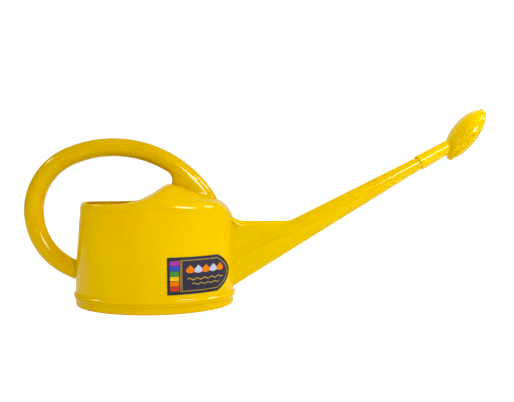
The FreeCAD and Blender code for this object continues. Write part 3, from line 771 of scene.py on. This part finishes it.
def face_dome(u, v):
    """The point of the domed face at a place on the flat disc."""
    share = math.hypot(u, v)
    bend = share * math.pi / 2
    stretch = math.sin(bend) / max(share, 1e-9)
    return [u * stretch * ROSE_HALF_LENGTH, v * stretch * ROSE_HALF_WIDTH,
            ROSE_FACE_DEPTH * math.cos(bend) + ROSE_GAP]


def face_grid(taken):
    """Filling points between the spray holes, none close to a point already there."""
    near = np.array(taken)
    spare = []
    step = 0.052
    count = int(1.0 / step) + 1
    for i in range(-count, count + 1):
        for j in range(-count, count + 1):
            spot = np.array([(i + 0.5 * (j % 2)) * step, j * step * 0.866])
            if np.hypot(*spot) <= 0.82 and np.min(np.hypot(*(near - spot).T)) > 0.024:
                spare.append(tuple(spot))
    return spare


def face_piece():
    """Perforated face: a dome with dimpled spray holes and the rim band, thickened inwards."""
    spots, edges, sinks = [], [], {}

    def add_ring(more, sink=0.0):
        """Adds a ring of spots that sink into the face, and returns their numbers."""
        ring = list(range(len(spots), len(spots) + len(more)))
        spots.extend(more)
        sinks.update((number, sink) for number in ring)
        return ring

    holes = spray_holes()
    for hole in holes:
        for radius, sink in HOLE_DIMPLE:
            ring_spots = [face_disc(*spot) for spot in circle(hole, radius, HOLE_SIDES)]
            edges += ring_edges(add_ring(ring_spots, sink))
    border = add_ring(circle((0.0, 0.0), FACE_BORDER, ROSE_COLUMNS))
    edges += ring_edges(border)
    add_ring(circle((0.0, 0.0), 0.84, ROSE_COLUMNS))
    spots += face_grid(spots)
    flat, _, triangles, source, _, _ = delaunay_2d_cdt([Vector(s) for s in spots], edges, [], 0, 1e-7)
    keep = []
    for triangle in triangles:
        middle = sum((flat[n] for n in triangle), Vector((0, 0))) / 3
        x, y, _ = face_dome(*middle)
        in_hole = any(math.hypot(x - hx, y - hy) < 0.66 for hx, hy in holes)
        if middle.length <= FACE_BORDER and not in_hole:
            keep.append(tuple(triangle))
    local = []
    for number, spot in enumerate(flat):
        place = face_dome(*spot)
        origin = source[number][0] if source[number] else -1
        place[2] -= sinks.get(origin, 0.0)
        local.append(place)
    turn = np.array([math.atan2(flat[n][1], flat[n][0]) for n in border])
    first = len(local)
    rows = []
    for share in (0.94, 0.97):
        bend = share * math.pi / 2
        rows.append(rose_oval(turn, ROSE_FACE_DEPTH * math.cos(bend) + ROSE_GAP, 0.0, math.sin(bend)))
    rows = [row for row in rows if row[0, 2] > RIM_BAND_HEIGHT + 0.45]
    rows += [rose_oval(turn, up + ROSE_GAP, out) for out, up in RIM_PROFILE]
    faces = keep + grid_faces(len(rows), ROSE_COLUMNS, True, first)
    row = list(range(first, first + ROSE_COLUMNS))
    faces += [(a, b, d, c) for (a, b), (c, d) in zip(ring_edges(border), ring_edges(row))]
    points = np.concatenate([np.array(local)] + rows)
    return thick_sheet("rose_plate", in_rose(points), faces, 1)


def on_axis(turn, distance, radius):
    """Points round the spout's axis."""
    ring = np.cos(turn)[:, None] * ACROSS + np.sin(turn)[:, None] * ROSE_Y
    return ROOT + np.reshape(distance, (-1, 1)) * ALONG + np.reshape(radius, (-1, 1)) * ring


def dome_meeting(turn, radius):
    """Distance along the spout's axis at which each line of a tube round it meets the dome's back."""
    def before_dome(distance):
        local = on_axis(turn, distance, radius) - ROSE_MIDDLE
        across = np.hypot(local @ ROSE_X / ROSE_HALF_LENGTH, local @ ROSE_Y / ROSE_HALF_WIDTH)
        return np.hypot(across, local @ ROSE_Z / ROSE_BACK_DEPTH) > 1.0

    return halve(np.full_like(turn, SPOUT_LENGTH), np.full_like(turn, ROSE_REACH - 6.0), before_dome)


def sleeve_piece():
    """Sleeve of the rose: chamfered lip, slow taper that runs into the dome, socket, seal groove and way."""
    turn = round_turn(96)
    slope = (SLEEVE_END_RADIUS - SLEEVE_START_RADIUS) / (SLEEVE_END - SLEEVE_START)
    lip_end = SLEEVE_START + 1.1
    seal_end = SEAL_START + SEAL_WIDTH
    stop = SPOUT_LENGTH + 0.1
    fillet = 2.6

    def skin(distance, spread=0.0):
        return on_axis(turn, distance, SLEEVE_START_RADIUS + slope * (distance - lip_end) + spread)

    def bore(distance, slack=0.06):
        return on_axis(turn, distance, spout_radius(distance) + slack)

    rings = [on_axis(turn, SLEEVE_START + ahead, SLEEVE_START_RADIUS - down)
             for ahead, down in ((0.0, 0.75), (0.12, 0.45), (0.75, 0.06), (1.1, 0.0))]
    start = dome_meeting(turn, SLEEVE_END_RADIUS + 0.5) - fillet
    rings += [skin(lip_end + (start - lip_end) * share) for share in np.linspace(0, 1, 14)[1:]]
    rings += [skin(start + fillet * math.sin(bend), 0.8 * fillet * (1 - math.cos(bend)))
              for bend in np.radians(np.linspace(0, 70, 7))[1:]]
    rings += [on_axis(turn, start + fillet + 1.2, SLEEVE_END_RADIUS + 0.2),
              on_axis(turn, dome_meeting(turn, WATERWAY) + 0.9, WATERWAY),
              on_axis(turn, stop, WATERWAY), bore(stop), bore(seal_end),
              on_axis(turn, seal_end, SEAL_RADIUS), on_axis(turn, SEAL_START, SEAL_RADIUS),
              bore(SEAL_START), on_axis(turn, SLEEVE_START + 0.5, spout_radius(SLEEVE_START) + 0.06),
              bore(SLEEVE_START, 0.35)]
    return ring_piece("rose_sleeve", rings, 30.0)


def waterway_tool():
    """The hole through the dome's back that lets the water in, as a closed tool."""
    turn = round_turn(48)
    stations = np.linspace(SPOUT_LENGTH + 1.0, ROSE_REACH - 8.0, 5)
    grid = np.array([on_axis(turn, station, WATERWAY) for station in stations])
    return lines_to_piece("waterway_tool", grid)


def spigot_piece():
    """Ring on the face that pushes into the back of the rose."""
    turn = round_turn(ROSE_COLUMNS)
    profile = [(-2.6, 2.2), (-2.6, -1.6), (-2.9, -2.0), (-3.5, -2.0), (-3.8, -1.7), (-3.8, 2.2)]
    rings = [in_rose(rose_oval(turn, height, grow)) for grow, height in profile]
    return ring_piece("rose_spigot", rings, 30.0)


def lug_piece(name, end, low):
    """A rounded lug at one end of the rose's long axis: a half-round tongue with soft edges."""
    inner = ROSE_HALF_LENGTH - 3.0
    shoulder = LUG_REACH - LUG_ROUND
    half = LUG_WIDTH / 2
    outline = [(inner, -half), (shoulder, -half)]
    for angle in np.radians(np.arange(-75, 76, 15)):
        outline.append((shoulder + LUG_ROUND * math.cos(angle), half * math.sin(angle)))
    outline += [(shoulder, half), (inner, half)]
    corners = np.array(outline)
    towards = unit(corners.mean(0) - corners)
    rows = []
    for shrink, height in ((LUG_SOFT, 0.0), (0.12, 0.12 * LUG_SOFT + 0.06), (0.0, LUG_SOFT),
                           (0.0, LUG_HEIGHT - LUG_SOFT), (0.13, LUG_HEIGHT - 0.12), (LUG_SOFT, LUG_HEIGHT)):
        ring = corners + shrink * towards
        rows.append(np.column_stack([end * ring[:, 0], ring[:, 1], low + height + 0 * ring[:, 0]]))
    return lines_to_piece(name, in_rose(np.array(rows)))


# ---- label

def wall_y(x, z, out):
    """The near side of the wall, a distance out, at a place seen from the side."""
    middle, a, b = oval_sizes(z)
    return -(b + out) * np.sqrt(np.maximum(1.0 - ((x - middle) / (a + out)) ** 2, 0.0))


def label_run():
    """Distance along the wall from the label's straight end, against x."""
    x = np.linspace(LABEL_BACK_X, LABEL_TIP_X + 1.8, 600)
    return x, run_along(np.column_stack([x, wall_y(x, LABEL_RUN_LEVEL, 0.0)]))


RUN_X, RUN = label_run()


def arc_through(a, b, c, count):
    """Points on the circle through three points, from the first to the last."""
    a, b, c = (complex(*p) for p in (a, b, c))
    w = (c - a) / (b - a)
    centre = a - (a - b) * (w - abs(w) ** 2) / (2j * w.imag)
    start, end = np.angle(a - centre), np.angle(c - centre)
    sweep = (end - start + math.pi) % TURN - math.pi
    angles = start + sweep * np.linspace(0, 1, count)
    spots = centre + abs(a - centre) * np.exp(1j * angles)
    return [(p.real, p.imag) for p in spots]


def label_border(inset):
    """The label's outline, moved in by an inset, as (run, height) points."""
    bulge = LABEL_SHOULDER_X + 0.74 * (LABEL_TIP_X - LABEL_SHOULDER_X)
    quarter = 0.28 * (LABEL_HIGH - LABEL_LOW)
    lower = arc_through((LABEL_SHOULDER_X, LABEL_LOW), (bulge, LABEL_MIDDLE - quarter),
                        (LABEL_TIP_X, LABEL_MIDDLE), 14)
    upper = [(x, 2 * LABEL_MIDDLE - z) for x, z in lower[::-1]]
    spots = [(x, LABEL_LOW) for x in np.linspace(LABEL_BACK_X, LABEL_SHOULDER_X, 14)[:-1]]
    spots += lower + upper[1:]
    spots += [(x, LABEL_HIGH) for x in np.linspace(LABEL_SHOULDER_X, LABEL_BACK_X, 14)[1:]]
    flat = np.array([(np.interp(x, RUN_X, RUN), z) for x, z in spots])
    ahead = np.roll(flat, -1, 0) - np.roll(flat, 1, 0)
    normal = unit(np.column_stack([-ahead[:, 1], ahead[:, 0]]))
    run, level = (flat + inset * normal).T
    return np.column_stack([np.maximum(run, inset), np.clip(level, LABEL_LOW + inset, LABEL_HIGH - inset)])


def drop_shape(centre, size):
    """A water drop, point up."""
    x, y = centre
    return [(x + 0.78 * size * math.sin(turn) * math.sin(turn / 2) ** 1.4, y + 0.5 * size * math.cos(turn))
            for turn in round_turn(22)]


def wave_shape(start, end, level, height, thickness, waves):
    """A flat ribbon that waves along the label."""
    run = np.linspace(start, end, 40)
    line = level + height * np.sin(TURN * waves * (run - start) / (end - start))
    top = list(zip(run, line + thickness / 2))
    low = list(zip(run, line - thickness / 2))
    return top + low[::-1]


def box_shape(left, low, right, high):
    return [(left, low), (right, low), (right, high), (left, high)]


def label_art():
    """Printed shapes in drawing order: (ink number, closed outline). No lettering and no mark."""
    art = []
    for ink, line in ((GOLD, 0.0), (NIGHT, FRAME_LINE)):
        left = LABEL_DIVIDER + line
        inset = FRAME_INSET + line
        outline = [spot for spot in label_border(inset) if spot[0] > left]
        art.append((ink, outline + [(left, LABEL_HIGH - inset), (left, LABEL_LOW + inset)]))
    art.append((GOLD, box_shape(LABEL_DIVIDER - 1.7, LABEL_LOW + 3.2, LABEL_DIVIDER - 1.1, LABEL_HIGH - 3.2)))
    tall = (LABEL_HIGH - LABEL_LOW - 8.0) / LABEL_BARS
    for number in range(LABEL_BARS):
        low = LABEL_LOW + 4.0 + number * tall
        art.append((RED + number, box_shape(3.4, low + 0.35, LABEL_DIVIDER - 3.0, low + tall - 0.35)))
    for number in range(LABEL_DROPS):
        ink = PALE if number % 2 else ORANGE
        art.append((ink, drop_shape((27.0 + 9.6 * number, LABEL_MIDDLE + 7.4), 9.4)))
    art.append((GOLD, wave_shape(23.5, 69.5, LABEL_MIDDLE - 4.3, 1.0, 1.1, 5)))
    art.append((GOLD, wave_shape(29.0, 64.0, LABEL_MIDDLE - 10.2, 0.8, 0.9, 4)))
    return art


def inside(spot, outline):
    """True if a point is inside a closed outline."""
    x, y = spot
    hit = False
    for (ax, ay), (bx, by) in ring_edges(outline):
        if (ay > y) != (by > y) and x < (bx - ax) * (y - ay) / (by - ay) + ax:
            hit = not hit
    return hit


def label_piece(inks):
    """Film on the wall: a flat cut of its outline and its printed shapes, wrapped round the tank."""
    art = [(ink, [tuple(map(float, p)) for p in outline]) for ink, outline in label_art()]
    border = [tuple(p) for p in label_border(0.0)]
    spots, edges = [], []
    for outline in [border] + [shape for _, shape in art]:
        edges += ring_edges(list(range(len(spots), len(spots) + len(outline))))
        spots += outline
    for run in np.arange(2.0, 92.0, 2.2):
        for level in np.arange(LABEL_LOW + 2.0, LABEL_HIGH - 1.0, 5.5):
            if inside((run, level), border):
                spots.append((float(run), float(level)))
    flat, _, triangles, _, _, _ = delaunay_2d_cdt([Vector(s) for s in spots], edges, [], 0, 1e-5)
    faces, colours = [], []
    for triangle in triangles:
        middle = sum((flat[n] for n in triangle), Vector((0, 0))) / 3
        if not inside(middle, border):
            continue
        faces.append(tuple(triangle))
        colours.append([NIGHT, *(ink for ink, outline in art if inside(middle, outline))][-1])
    run, level = np.array([tuple(spot) for spot in flat]).T
    x = np.interp(run, RUN, RUN_X)
    points = np.column_stack([x, wall_y(x, level, LABEL_FILM), level])
    back = np.column_stack([x, wall_y(x, level, -0.05), level])
    count = len(points)
    sides = {side: True for face in faces for side in ring_edges(face)}
    rim = [(a, b) for a, b in sides if (b, a) not in sides]
    everything = faces + [tuple(n + count for n in face[::-1]) for face in faces]
    everything += [(b, a, a + count, b + count) for a, b in rim]
    piece = make_object("label_print", np.concatenate([points, back]), everything, 60.0)
    for ink in inks:
        piece.data.materials.append(ink)
    for polygon, ink in zip(piece.data.polygons, colours):
        polygon.material_index = ink
    return piece


# ---- materials

def new_material(name):
    material = bpy.data.materials.new(name)
    material.use_nodes = True
    tree = material.node_tree
    tree.nodes.clear()
    shader = tree.nodes.new("ShaderNodeBsdfPrincipled")
    output = tree.nodes.new("ShaderNodeOutputMaterial")
    tree.links.new(shader.outputs[0], output.inputs[0])
    return material, tree, shader


def place_noise(tree, scale, detail=2.0, stretch=(1, 1, 1)):
    """Noise laid over the object's own coordinates."""
    where = tree.nodes.new("ShaderNodeTexCoord")
    sizing = tree.nodes.new("ShaderNodeMapping")
    sizing.inputs["Scale"].default_value = stretch
    noise = tree.nodes.new("ShaderNodeTexNoise")
    noise.inputs["Scale"].default_value = scale
    noise.inputs["Detail"].default_value = detail
    tree.links.new(where.outputs["Object"], sizing.inputs["Vector"])
    tree.links.new(sizing.outputs[0], noise.inputs["Vector"])
    return noise.outputs["Fac"]


def value_range(tree, source, low, high, from_low=0.3, from_high=0.7):
    """A value carried over from one range to another."""
    ranger = tree.nodes.new("ShaderNodeMapRange")
    for name, value in (("From Min", from_low), ("From Max", from_high), ("To Min", low), ("To Max", high)):
        ranger.inputs[name].default_value = value
    tree.links.new(source, ranger.inputs["Value"])
    return ranger.outputs[0]


def tint(tree, shader, source, stops):
    """Base colour that follows a value through colour stops."""
    ramp = tree.nodes.new("ShaderNodeValToRGB")
    while len(ramp.color_ramp.elements) < len(stops):
        ramp.color_ramp.elements.new(0.5)
    for element, (place, colour) in zip(ramp.color_ramp.elements, stops):
        element.position = place
        element.color = (*colour, 1.0)
    tree.links.new(source, ramp.inputs["Fac"])
    tree.links.new(ramp.outputs["Color"], shader.inputs["Base Color"])


def roughen(tree, shader, source, low, high):
    """Roughness that follows a value."""
    tree.links.new(value_range(tree, source, low, high), shader.inputs["Roughness"])


def add_bump(tree, shader, height, distance, strength):
    bump = tree.nodes.new("ShaderNodeBump")
    bump.inputs["Distance"].default_value = distance
    bump.inputs["Strength"].default_value = strength
    tree.links.new(height, bump.inputs["Height"])
    tree.links.new(bump.outputs[0], shader.inputs["Normal"])


def seam_height(tree):
    """1 on the mould's parting line, down the middle plane, and 0 away from it."""
    where = tree.nodes.new("ShaderNodeTexCoord")
    split = tree.nodes.new("ShaderNodeSeparateXYZ")
    size = tree.nodes.new("ShaderNodeMath")
    size.operation = "ABSOLUTE"
    tree.links.new(where.outputs["Object"], split.inputs[0])
    tree.links.new(split.outputs["Y"], size.inputs[0])
    return value_range(tree, size.outputs[0], 1.0, 0.0, 0.0001, 0.0006)


def yellow_plastic(name, grain, seam, tone):
    """Glossy moulded polyethylene: slow shifts of colour, faint flow marks and a fine skin."""
    material, tree, shader = new_material(name)
    # tone scales the whole base colour; the handle's lower tone is painted shade, not a different plastic
    stops = [(place, tuple(tone * part for part in shade)) for place, shade in YELLOW_SHADES]
    tint(tree, shader, place_noise(tree, 14.0, 3.0, (1.0, 1.0, 0.5)), stops)
    roughen(tree, shader, place_noise(tree, 60.0, 4.0, (1.0, 1.0, 0.25)), grain, grain + 0.07)
    height = place_noise(tree, 420.0)
    if seam:
        mix = tree.nodes.new("ShaderNodeMath")
        mix.operation = "MULTIPLY_ADD"
        mix.inputs[1].default_value = SEAM_BUMP
        tree.links.new(seam_height(tree), mix.inputs[0])
        tree.links.new(height, mix.inputs[2])
        height = mix.outputs[0]
    add_bump(tree, shader, height, 0.00012, 0.16)
    shader.inputs["Subsurface Weight"].default_value = 0.25
    shader.inputs["Subsurface Radius"].default_value = (0.008, 0.005, 0.001)
    shader.inputs["Subsurface Scale"].default_value = 1.0
    return material


def print_ink(name, colour, shiny):
    """Ink on a glossy film: a little uneven in tone, with the film's own gloss."""
    material, tree, shader = new_material(name)
    dark = tuple(0.86 * part for part in colour)
    tint(tree, shader, place_noise(tree, 900.0), [(0.35, dark), (0.65, colour)])
    ripple = place_noise(tree, 45.0)
    roughen(tree, shader, ripple, shiny, shiny + 0.08)
    add_bump(tree, shader, ripple, 0.0002, 0.10)
    return material


def seal_rubber():
    material, tree, shader = new_material("seal_rubber_black")
    dust = place_noise(tree, 700.0, 3.0)
    tint(tree, shader, dust, [(0.3, (0.012, 0.012, 0.013)), (0.7, (0.03, 0.03, 0.032))])
    roughen(tree, shader, dust, 0.5, 0.7)
    add_bump(tree, shader, dust, 0.0001, 0.2)
    return material


def floor_material():
    """Pale paper sweep: plain white to the camera, and a soft bounce of the lamps to everything else."""
    material, tree, shader = new_material("pale_sweep")
    tint(tree, shader, place_noise(tree, 300.0, 3.0), [(0.3, (0.80, 0.80, 0.80)), (0.7, (0.84, 0.84, 0.84))])
    shader.inputs["Roughness"].default_value = 0.9
    shader.inputs["Specular IOR Level"].default_value = 0.1
    shader.inputs["Emission Color"].default_value = (1.0, 1.0, 1.0, 1.0)
    path = tree.nodes.new("ShaderNodeLightPath")
    glow = value_range(tree, path.outputs["Is Camera Ray"], FLOOR_BOUNCE, FLOOR_SEEN, 0.0, 1.0)
    tree.links.new(glow, shader.inputs["Emission Strength"])
    return material


# ---- stage, light and camera

def make_floor():
    count = 25
    side = np.linspace(-6000.0, 6000.0, count)
    points = [(x, y, -0.05) for x in side for y in side]
    floor = make_object("sweep", points, grid_faces(count, count, closed=False))
    floor.data.materials.append(floor_material())


def soft_light(name, place, size, power, glossy):
    """A rectangular soft box aimed at the can's middle."""
    light = bpy.data.lights.new(name, "AREA")
    light.shape = "RECTANGLE"
    light.size, light.size_y = size
    light.energy = power
    lamp = bpy.data.objects.new(name, light)
    bpy.context.scene.collection.objects.link(lamp)
    lamp.location = place
    aim = Vector(CAN_MIDDLE) - lamp.location
    lamp.rotation_mode = "QUATERNION"
    lamp.rotation_quaternion = aim.to_track_quat("-Z", "Y")
    lamp.visible_camera = False
    lamp.visible_glossy = glossy


def make_world():
    """White to the camera, a white backdrop in reflections, and an even room that is brighter above."""
    world = bpy.data.worlds.new("studio")
    bpy.context.scene.world = world
    world.use_nodes = True
    tree = world.node_tree
    tree.nodes.clear()
    where = tree.nodes.new("ShaderNodeTexCoord")
    split = tree.nodes.new("ShaderNodeSeparateXYZ")
    tree.links.new(where.outputs["Generated"], split.inputs[0])
    backdrop = value_range(tree, split.outputs["Y"], GLOSS_FRONT, GLOSS_BACKDROP, 0.25, 0.65)
    room = value_range(tree, split.outputs["Z"], ROOM_LOW, ROOM_HIGH, -0.2, 1.0)
    path = tree.nodes.new("ShaderNodeLightPath")
    value = room
    for ray, seen in (("Is Glossy Ray", backdrop), ("Is Camera Ray", None)):
        pick = tree.nodes.new("ShaderNodeMix")
        tree.links.new(path.outputs[ray], pick.inputs[0])
        tree.links.new(value, pick.inputs[2])
        if seen:
            tree.links.new(seen, pick.inputs[3])
        else:
            pick.inputs[3].default_value = SKY_SEEN
        value = pick.outputs[0]
    background = tree.nodes.new("ShaderNodeBackground")
    background.inputs["Color"].default_value = (1.0, 1.0, 1.0, 1.0)
    tree.links.new(value, background.inputs["Strength"])
    output = tree.nodes.new("ShaderNodeOutputWorld")
    tree.links.new(background.outputs[0], output.inputs[0])


def set_view():
    """Plain colours, with a black level in blue, because a strong yellow has no blue left in it."""
    view = bpy.context.scene.view_settings
    view.view_transform = "Standard"
    view.use_curve_mapping = True
    view.curve_mapping.black_level = (0.0, 0.0, BLUE_BLACK)
    view.curve_mapping.update()


def make_camera():
    data = bpy.data.cameras.new("camera")
    data.sensor_width = 36.0
    data.lens = CAMERA_LENS
    data.clip_start = 0.02
    data.clip_end = 30.0
    camera = bpy.data.objects.new("camera", data)
    bpy.context.scene.collection.objects.link(camera)
    camera.location = CAMERA_PLACE
    camera.rotation_euler = (math.radians(90.0 - CAMERA_DIP), 0.0, 0.0)
    bpy.context.scene.camera = camera


# ---- build

make_camera()
make_world()
make_floor()
for lamp in LAMPS:
    soft_light(*lamp)
set_view()

blown = yellow_plastic("yellow_blown", 0.13, True, 0.98)
# The handle's grip is the same yellow plastic with its tone lowered: painted shade for the dimmer light on
# the handle.
painted_shade_grip = yellow_plastic("yellow_painted_shade_grip", 0.13, True, 0.83)
moulded = yellow_plastic("yellow_moulded", 0.11, False, 0.95)
rose_yellow = yellow_plastic("yellow_rose", 0.11, False, 1.08)
tank = tank_piece()
carve(tank, passage_tool())
settle(tank, "can", "can_plastic", blown, "tank_shell")
settle(pan_piece(), "can", "can_plastic", moulded, "base_pan")
settle(handle_piece(), "can", "can_plastic", painted_shade_grip, "handle")
settle(spout_piece(), "can", "can_plastic", blown, "spout")

inks = [print_ink(*ink) for ink in INKS]
settle(label_piece(inks), "can", "label_film", inks[0], "label")

dome = dome_back_piece()
carve(dome, waterway_tool())
settle(dome, "rose", "rose_plastic", rose_yellow, "rose_shell")
settle(sleeve_piece(), "rose", "rose_plastic", rose_yellow)
settle(face_piece(), "face", "rose_plastic", rose_yellow, "rose_face")
settle(spigot_piece(), "face", "rose_plastic", rose_yellow)
for end, place in ((-1.0, "upper"), (1.0, "lower")):
    settle(lug_piece("rose_lug_" + place, end, -LUG_HEIGHT), "rose", "rose_plastic", rose_yellow)
    settle(lug_piece("face_lug_" + place, end, ROSE_GAP), "face", "rose_plastic", rose_yellow)

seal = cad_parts["rose_seal"]
seal.data.materials.clear()
seal.data.materials.append(seal_rubber())
